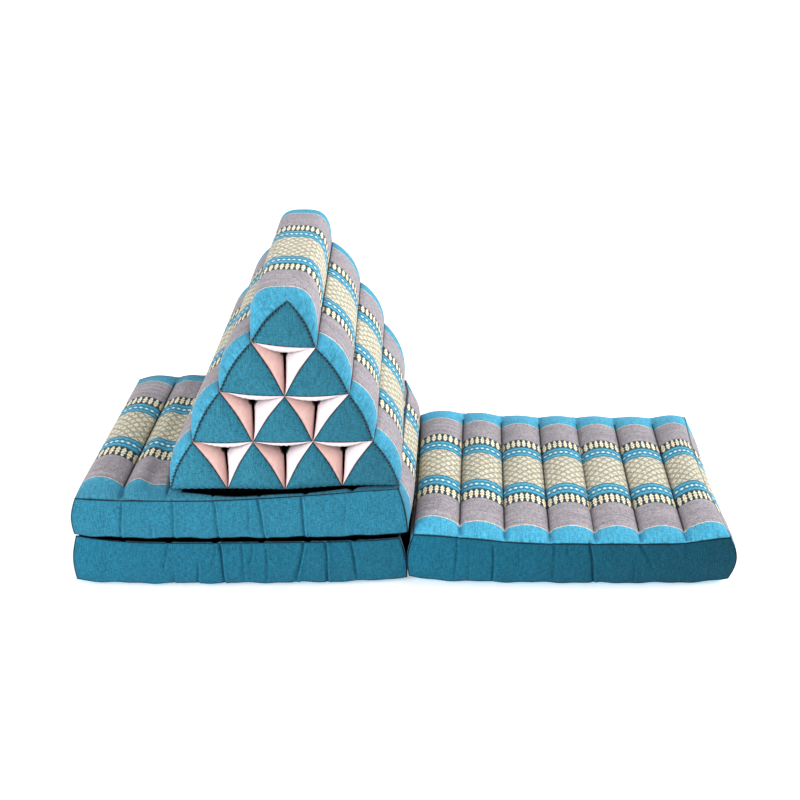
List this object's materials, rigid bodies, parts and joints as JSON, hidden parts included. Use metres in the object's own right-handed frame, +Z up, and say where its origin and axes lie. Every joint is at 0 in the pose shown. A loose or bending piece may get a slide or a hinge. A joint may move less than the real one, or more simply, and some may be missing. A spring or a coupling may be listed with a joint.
{
  "type": "thai triangle cushion with fold-out mattress",
  "caption": "Stuffed triangle cushion of small triangular bolsters, sewn to a fold-out mattress of channelled sections and standing on the folded ones as a back rest.",
  "frame": {"origin": "on the floor under the middle of the whole footprint", "axes": "+X along the mattress, from the stacked sections to the section laid out beside them; +Y away from the viewer, along the rolls; +Z up"},
  "size_m": [1.1616, 0.5294, 0.5392],
  "materials": {
    "banded_cotton": "matt woven cotton, banded",
    "turquoise_cotton": "matt plain woven cotton"
  },
  "bodies": {
    "root": {"mattress_right": "banded_cotton", "mattress_lower": "banded_cotton", "mattress_upper": "banded_cotton", "block_1_1": "turquoise_cotton", "block_2_1": "turquoise_cotton", "block_2_2": "turquoise_cotton", "block_3_1": "turquoise_cotton", "block_3_2": "turquoise_cotton", "block_3_3": "turquoise_cotton", "block_4_1": "turquoise_cotton", "block_4_2": "turquoise_cotton", "block_4_3": "turquoise_cotton", "block_4_4": "turquoise_cotton"}
  },
  "joints": []
}
